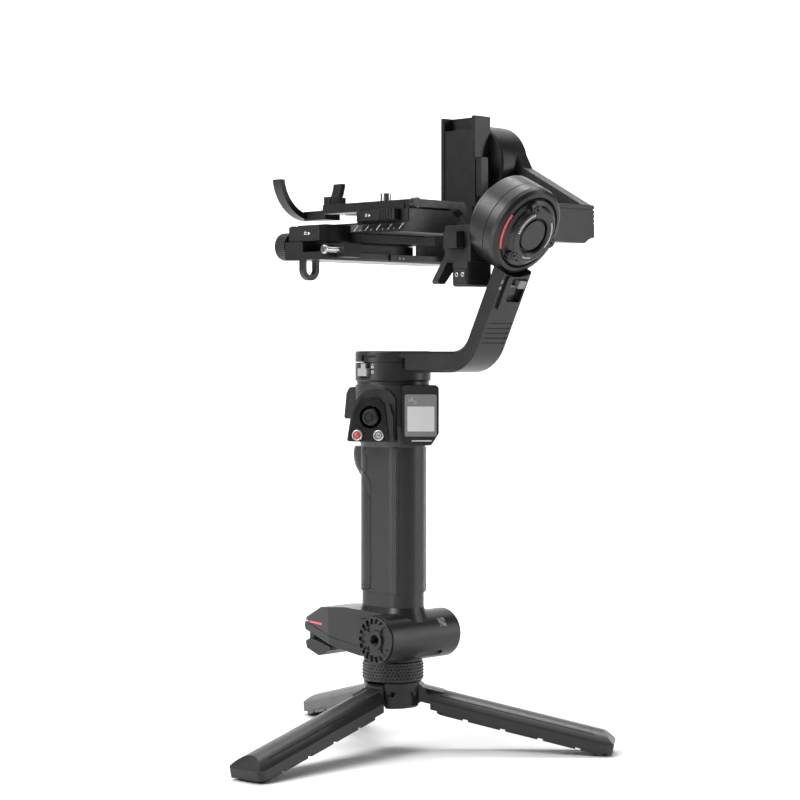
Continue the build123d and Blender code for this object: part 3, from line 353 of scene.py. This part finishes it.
def display_marks():
    """The lit square, a few generic status marks over it and a printed line under the glass."""
    light = rectangle(GLASS_MIDDLE, LIT_MIDDLE, *LIT_SIZE, 0.5)
    printed("screen_light_area", on_glass, [light], "handle", SCREEN)
    bars = [rectangle(8.9 + 0.75 * i, 177.3 + 0.25 * i, 0.45, 1.0 + 0.5 * i) for i in range(4)]
    dial = arc_band(12.4, 176.3, 0.9, 0.3, 200, 500, 10)
    needle = [rectangle(12.4, 176.6, 0.3, 0.9)]
    printed("screen_status_marks", on_glass, bars + dial + needle, "handle", PRINT_GREY)
    under = Face(display.out * (GLASS_OUT - 0.3), display.out)
    dashes = [rectangle(11.2 + 1.05 * i, 154.3, 0.8, 0.7) for i in range(11)]
    printed("display_line_marks", under, dashes, "handle", PRINT)


def buttons():
    """A raised silver rim on each button, a red dome on one and a generic mark on the other."""
    panel = facing(PANEL_AZIMUTH)
    face = Face(panel.out * BUTTON_TOP, panel.out)
    for name in ("record_button", "mode_button"):
        low, high = (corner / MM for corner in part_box(name))
        centre = (low + high) / 2
        radius = (high.z - low.z) / 2
        x = centre.dot(panel.across)
        rim = [(radius - inset, height) for inset, height in
               ((0.1, -0.8), (0.1, 0.05), (0.35, 0.2), (0.65, 0.2), (0.85, 0.0), (0.85, -0.8))]
        ring(name + "_rim", face, x, centre.z, rim, name, FINISHES["silver"])
        well = [(radius - 0.9, -0.3), (radius - 0.9, 0.02), (1.75, 0.02), (1.75, -0.3)]
        ring(name + "_well", face, x, centre.z, well, name, FINISHES["gloss_black"])
        if name == "record_button":
            dome = [(1.65, -0.3), (1.65, 0.05), (1.4, 0.3), (0.9, 0.46), (0.4, 0.53), (0.02, 0.55),
                    (0.02, -0.3)]
            ring("record_dome", face, x, centre.z, dome, name, FINISHES["record_red"])
            continue
        zigzag = [(-0.8, -0.75), (-0.8, 0.75), (0, -0.1), (0.8, 0.75), (0.8, -0.75)]
        half_stroke, strokes = 0.14, []
        for (ax, ay), (bx, by) in zip(zigzag, zigzag[1:]):
            across = Vector((by - ay, ax - bx)).normalized() * half_stroke
            strokes.append([(x + ax - across.x, centre.z + ay - across.y),
                            (x + ax + across.x, centre.z + ay + across.y),
                            (x + bx + across.x, centre.z + by + across.y),
                            (x + bx - across.x, centre.z + by - across.y)])
        printed("mode_button_mark", face, strokes, name, SEAM)


display_marks()
buttons()


# ================================================================================ lock marks
PAN_R = 22.0  # the pan motor's outside
pan_drum = Drum((0, 0, 0), (0, 0, 1), (-1, 0, 0), PAN_R)


def pan_lock_marks():
    """A closed and an open padlock beside the pan lock's slider."""
    beside = PAN_R * math.radians(12.5)
    printed("pan_lock_marks", pan_drum, padlock(beside, 193.2, 2.0), "handle")
    printed("pan_unlock_marks", pan_drum, padlock(beside, 196.4, 2.0, True), "handle")


UPRIGHT_BACK = 2.2  # depth of the upright's outer face from the roll cap
cap_out = Vector((0, -math.cos(ROLL_SLANT), -math.sin(ROLL_SLANT)))
cap_face = Face(CAP_CENTRE, cap_out, (1, 0, 0))
upright_face = Face(Vector(CAP_CENTRE) - UPRIGHT_BACK * cap_out, cap_out, (1, 0, 0))


def roll_lock_marks():
    """An open and a closed padlock beside the roll lock's slot."""
    icons = padlock(-10.0, -29.0, 1.9, True) + padlock(-10.0, -32.6, 1.9)
    printed("roll_lock_marks", upright_face, icons, "pan_frame")


def lever_marks(name, body, outward, along, up, size):
    """A padlock icon and an arrow on the outer face of a lock lever."""
    low, high = (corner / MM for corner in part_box(name))
    middle = (low + high) / 2
    reach = max(abs(outward[i]) * (high[i] - low[i]) / 2 for i in range(3))
    face = Face(middle + Vector(outward) * reach, outward)
    arrow = [(along + size, up - 0.45 * size), (along + 1.9 * size, up), (along + size, up + 0.45 * size)]
    printed(name + "_marks", face, padlock(along, up, size) + [arrow], body)


pan_lock_marks()
roll_lock_marks()
lever_marks("stage_lock_lever", "stage_lock", (-1, 0, 0), 2.0, -0.4, 2.2)
lever_marks("quick_release_lock_lever", "quick_lock", (-1, 0, 0), -6.5, -0.3, 1.9)
stage_beam = Face((11.5, 3.8, 259.7), (0, -1, 0))
stage_arrow = [(0.6, -0.6), (2.0, 0), (0.6, 0.6)]
printed("stage_beam_marks", stage_beam, padlock(-2.0, 0, 1.7) + [stage_arrow], "tilt_arm")


# ================================================================================ roll motor
MOTOR_SPLIT = 13.975  # depth of the gap between the roll motor's halves
LOCK_STEP = 3.2  # depth of the roll lock slider's lower step
MARK_R = 13.0  # the printed ticks' ring


def roll_cap_marks():
    """Short printed ticks in arcs round the motor cap."""
    ticks = []
    for start, end, count, tall in ((112, 178, 14, 1.3), (-28, 40, 18, 0.9), (254, 284, 7, 0.8)):
        step = (end - start) / count
        for i in range(count):
            begin = start + i * step
            ticks += arc_band(0, 0, MARK_R, tall, begin, begin + 0.6 * step, 2)
    printed("roll_cap_marks", cap_face, ticks, "pan_frame")


def roll_gap():
    """The dark line between the roll motor's two halves."""
    seam_face = Face(Vector(CAP_CENTRE) - MOTOR_SPLIT * cap_out, cap_out, (1, 0, 0))
    band = [(24.6, -0.17), (25.1, -0.17), (25.1, 0.17), (24.6, 0.17)]
    ring("roll_gap_shadow", seam_face, 0, 0, band, "pan_frame", SEAM, 72)


def roll_lock_tail():
    """The dark lower step of the roll lock's slider."""
    step = Face(Vector(CAP_CENTRE) - LOCK_STEP * cap_out, cap_out, (1, 0, 0))
    vertices, faces = slabs(step, [rectangle(1.7, -34.3, 5.06, 4.7, 0.3)], -1.9, 0.06)
    piece("roll_lock_tail", vertices, faces, "roll_lock", FINISHES["black_aluminium"])


def port_screws():
    """Two small socket screws in the port cover."""
    cover = Face((-21.0, -72.7, 247.6), (-1, 0, 0))
    for index, x in enumerate((-2.2, 2.2)):
        head = [(1.25, -0.05), (1.25, 0.1), (1.05, 0.2), (0.75, 0.2), (0.65, 0.1), (0.65, -0.6)]
        ring(f"port_screw_{index + 1}", cover, x, 0, head, "roll_frame", FINISHES["silver"],
             24)


roll_cap_marks()
roll_gap()
roll_lock_tail()
port_screws()


# ================================================================================ grip seams
SEAM_STEP = 0.8  # about how far apart a joint line's points lie
SEAM_BURIED = -0.1  # how far its back lies under the surface


def seam(name, node, points, across, body, width):
    """A thin dark joint line laid on a CAD surface: points are cast onto it along a direction."""
    mesh = frame["nodes"][node].data
    tree = BVHTree.FromPolygons([v.co for v in mesh.vertices], [p.vertices for p in mesh.polygons])
    hits = []
    for first, last in zip(points, points[1:]):
        run = (Vector(last) - Vector(first)).length
        count = max(2, round(run / SEAM_STEP))
        for step in range(count):
            start = Vector(first).lerp(Vector(last), step / count)
            place, normal, _, _ = tree.ray_cast(start * MM, Vector(across))
            if place is not None:
                hits.append((place / MM, normal))
    vertices, faces = [], []
    for index, (place, normal) in enumerate(hits):
        ahead = hits[min(index + 1, len(hits) - 1)][0] - hits[max(index - 1, 0)][0]
        side = normal.cross(ahead).normalized() * width / 2
        for offset, height in ((-side, SEAM_BURIED), (side, SEAM_BURIED), (side, PROUD), (-side, PROUD)):
            vertices.append((place + offset + normal * height) * MM)
    for index in range(len(hits) - 1):
        for i in range(4):
            j = (i + 1) % 4
            faces.append((4 * index + i, 4 * index + j, 4 * index + 4 + j, 4 * index + 4 + i))
    last = 4 * (len(hits) - 1)
    faces += [(3, 2, 1, 0), (last, last + 1, last + 2, last + 3)]
    piece(name, vertices, faces, body, SEAM)


def arc_points(points, steps=6):
    """A smooth line through points, as a Catmull-Rom curve."""
    ends = [points[0], *points, points[-1]]
    smooth = []
    for a, b, c, d in zip(ends, ends[1:], ends[2:], ends[3:]):
        for step in range(steps):
            t = step / steps
            smooth.append(tuple(0.5 * (2 * q + (r - p) * t + (2 * p - 5 * q + 4 * r - u) * t * t
                                       + (3 * q - p - 3 * r + u) * t ** 3)
                                for p, q, r, u in zip(a, b, c, d)))
    return smooth + [points[-1]]


def grip_seams():
    """The front pad's outline and a line down the neck, on both sides, as (y, z) points."""
    clear = 40  # the lines start this far out, beyond the grip
    for side, name in ((-1, "left"), (1, "right")):
        pad = [(13, 67.6), (8.2, 67.6), (6.0, 68.6), (5.3, 71), (5.3, 98), (5.3, 126), (6.6, 131),
               (10.5, 135), (17.5, 138)]
        neck = [(9.6, 149.6), (11.4, 147.6), (10.4, 145.6), (8.6, 143.6), (8.9, 139), (9.0, 133.5)]
        for label, line, width in (("pad", pad, 0.9), ("neck", neck, 0.85)):
            points = [(side * clear, y, z) for y, z in arc_points(line)]
            seam(f"grip_seam_{label}_{name}", "grip_shell", points, (-side, 0, 0), "handle", width)


grip_seams()


# ================================================================================ scale
def digits(name, surface, marks, size, body):
    """Printed numbers: marks are (text, x, y) on a surface."""
    vertices, faces = [], []
    for text, x, y in marks:
        curve = bpy.data.curves.new("digit", "FONT")
        curve.body, curve.size, curve.extrude, curve.align_x = text, size * MM, PROUD * MM, "CENTER"
        holder = bpy.data.objects.new("digit", curve)
        mesh = bpy.data.meshes.new_from_object(holder)
        bpy.data.objects.remove(holder)
        first = len(vertices)
        vertices += [surface.at(x + v.co.x / MM, y + v.co.y / MM, v.co.z / MM) for v in mesh.vertices]
        faces += [tuple(first + i for i in p.vertices) for p in mesh.polygons]
    piece(name, vertices, faces, body, PRINT)


def slide_scale():
    """White ticks and numbers on the bevelled edge of the slide plate."""
    low_edge, high_edge = Vector((-24.0, 0, 274.2)), Vector((-19.5, 0, 278.8))
    slope = high_edge - low_edge
    bevel = Face(low_edge, (-slope.z, 0, slope.x), (0, -1, 0))
    rise, spacing, first = slope.length, 4.6, -8.25
    ticks, numbers = [], []
    for tick in range(9):
        y = first + spacing * tick
        major = tick % 2 == 0
        tall = 0.34 if major else 0.2
        ticks.append(rectangle(y, (0.06 + tall / 2) * rise, 0.5 if major else 0.35, tall * rise))
        if major:
            numbers.append((str(tick // 2 + 1), y, 0.48 * rise))
    printed("slide_scale_ticks", bevel, ticks, "slide_plate")
    digits("slide_scale_numbers", bevel, numbers, 3.4, "slide_plate")


slide_scale()


# ================================================================================ base
rosette_face = Face((-27, BARREL_Y, BARREL_Z), (-1, 0, 0))


def rosette_bushing():
    """A threaded metal bushing in the middle of the rosette."""
    bore, pitch, turns, steps = 3.2, 1.27, 2, 32
    collar = [(bore + 0.15, -2.6), (bore + 0.15, 0.0), (bore + 0.4, 0.12), (5.0, 0.12), (5.2, -0.1),
              (5.2, -0.5), (bore + 0.5, -0.5), (bore + 0.5, -2.6)]
    ring("rosette_bushing", rosette_face, 0, 0, collar, "handle", FINISHES["black_aluminium"])
    vertices, faces = [], []
    for step in range(turns * steps + 1):
        turn = 2 * math.pi * step / steps
        height = -0.2 - pitch * step / steps
        for radius, rise in ((bore + 0.2, 0.4), (bore - 0.25, 0.0), (bore + 0.2, -0.4)):
            vertices.append(rosette_face.at(radius * math.cos(turn), radius * math.sin(turn),
                                            height + rise))
    for step in range(turns * steps):
        for i in range(3):
            j = (i + 1) % 3
            faces.append((3 * step + i, 3 * step + j, 3 * step + 3 + j, 3 * step + 3 + i))
    last = 3 * turns * steps
    faces += [(2, 1, 0), (last, last + 1, last + 2)]
    piece("rosette_thread", vertices, faces, "handle", MATT_DARK)


def barrel_badge():
    """A pale square of generic blocks on the barrel's rear right."""
    drum = Drum((0, BARREL_Y, BARREL_Z), (-1, 0, 0), (0, -1, 0), BARREL_R)
    middle, along, size = BARREL_R * math.radians(34), -16.5, 5.4
    blocks = []
    for row in range(6):
        for column in range(5):
            if (row * 3 + column * 2) % 5 == 1:
                continue
            blocks.append(rectangle(middle + (row - 2.5) * size / 6, along + (column - 2) * size / 5,
                                    0.86 * size / 6, 0.86 * size / 5))
    printed("barrel_badge", drum, blocks, "handle", PRINT_GREY)


def knurled_dots():
    """Diamond knurling round the tripod's lock ring."""
    low, high = (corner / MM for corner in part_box("tripod_lock_ring"))
    radius = (high.x - low.x) / 2
    drum = Drum((0, 0, 0), (0, 0, 1), (1, 0, 0), radius)
    count, rows, height = 48, 5, 0.5
    pitch = 2 * math.pi * radius / count
    first, last = low.z + 1.3, high.z - 1.3
    spacing = (last - first) / rows
    vertices, faces = [], []
    for row in range(rows):
        for column in range(count):
            x = (column + 0.5 * (row % 2)) * pitch
            z = first + (row + 0.5) * spacing
            start = len(vertices)
            base = ((0.42, 0), (0, 0.42), (-0.42, 0), (0, -0.42))
            vertices += [drum.at(x + a * pitch, z + b * spacing, -0.15) for a, b in base]
            vertices += [drum.at(x + 0.35 * a * pitch, z + 0.35 * b * spacing, height)
                         for a, b in base]
            faces.append(tuple(start + i for i in (7, 6, 5, 4)))
            faces.append(tuple(start + i for i in (0, 1, 2, 3)))
            for i in range(4):
                j = (i + 1) % 4
                faces.append((start + i, start + j, start + 4 + j, start + 4 + i)[::-1])
    piece("lock_ring_knurling", vertices, faces, "lock_ring", FINISHES["black_aluminium"])


rosette_bushing()
barrel_badge()
knurled_dots()


# ================================================================================ stage
def make_floor(level):
    """A pale floor that curves up into a backdrop far behind the object."""
    half, back, rise, steps = 6.0, 3.5, 2.0, 16
    section = [(-6.0, 0.0), (back, 0.0)]
    for step in range(1, steps + 1):
        turn = math.pi / 2 * step / steps
        section.append((back + rise * math.sin(turn), rise * (1 - math.cos(turn))))
    section.append((back + rise, 6.0))
    ahead, side = Vector((1, 1, 0)).normalized(), Vector((1, -1, 0)).normalized()
    vertices = [ahead * out + side * reach + Vector((0, 0, level + up))
                for out, up in section for reach in (-half, half)]
    faces = [(2 * i, 2 * i + 1, 2 * i + 3, 2 * i + 2) for i in range(len(section) - 1)]
    mesh = bpy.data.meshes.new("floor")
    mesh.from_pydata([tuple(v) for v in vertices], [], faces)
    mesh.shade_smooth()
    floor = bpy.data.objects.new("floor", mesh)
    bpy.context.scene.collection.objects.link(floor)
    graph = Graph("pale_floor")
    place = graph.add("TexCoord").outputs["Object"]
    cloud = graph.add("TexNoise", Scale=3, Detail=3.0)
    graph.join(place, cloud.inputs["Vector"])
    graph.join(tone(graph, cloud.outputs["Fac"], (0.86, 0.86, 0.86), (0.90, 0.90, 0.90)),
               graph.shader.inputs["Base Color"])
    graph.shader.inputs["Roughness"].default_value = 0.75
    mesh.materials.append(graph.material)


def area_light(name, place, target, size, power):
    """A rectangular light at place that faces target."""
    light = bpy.data.lights.new(name, "AREA")
    light.shape = "RECTANGLE"
    light.size, light.size_y = size
    light.energy = power
    lamp = bpy.data.objects.new(name, light)
    lamp.location = place
    lamp.rotation_euler = (Vector(target) - Vector(place)).to_track_quat("-Z", "Y").to_euler()
    bpy.context.scene.collection.objects.link(lamp)


def make_light():
    """Soft studio light: two panels above, one each side, a wash on the backdrop, a dim surround."""
    world = bpy.data.worlds.new("studio")
    world.use_nodes = True
    surround = world.node_tree.nodes["Background"]
    surround.inputs["Color"].default_value = (1, 1, 1, 1)
    surround.inputs["Strength"].default_value = 0.05
    bpy.context.scene.world = world
    middle = (0, -0.03, 0.2)
    area_light("key_above", (-1.3, 0.3, 1.3), middle, (0.8, 0.8), 26)
    area_light("top_soft", (0.2, 0.2, 2.6), middle, (2.4, 2.4), 36)
    area_light("fill_left", (-1.5, 0.5, 0.5), middle, (0.5, 1.2), 8)
    area_light("fill_right", (1.1, -1.2, 0.45), middle, (0.3, 1.2), 6.5)
    area_light("backdrop_wash", (1.2, 1.2, 3.4), (3.4, 3.4, 0.6), (4.0, 1.5), 330)


def make_camera():
    """Level with the gimbal's middle, from behind and to the left, on a long lens."""
    distance, height = 1.225, 0.205
    data = bpy.data.cameras.new("camera")
    data.sensor_width = 36
    data.lens = 94.8
    data.shift_x, data.shift_y = 0.00875, -0.06
    camera = bpy.data.objects.new("camera", data)
    reach = distance / math.sqrt(2)
    camera.location = (-reach, -reach, height)
    camera.rotation_euler = (math.radians(90), 0, math.radians(-45))
    bpy.context.scene.collection.objects.link(camera)
    bpy.context.scene.camera = camera


make_floor(min(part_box(f"leg_{i}")[0].z for i in (1, 2, 3)))
make_light()
make_camera()
bpy.context.scene.view_settings.view_transform = "Standard"
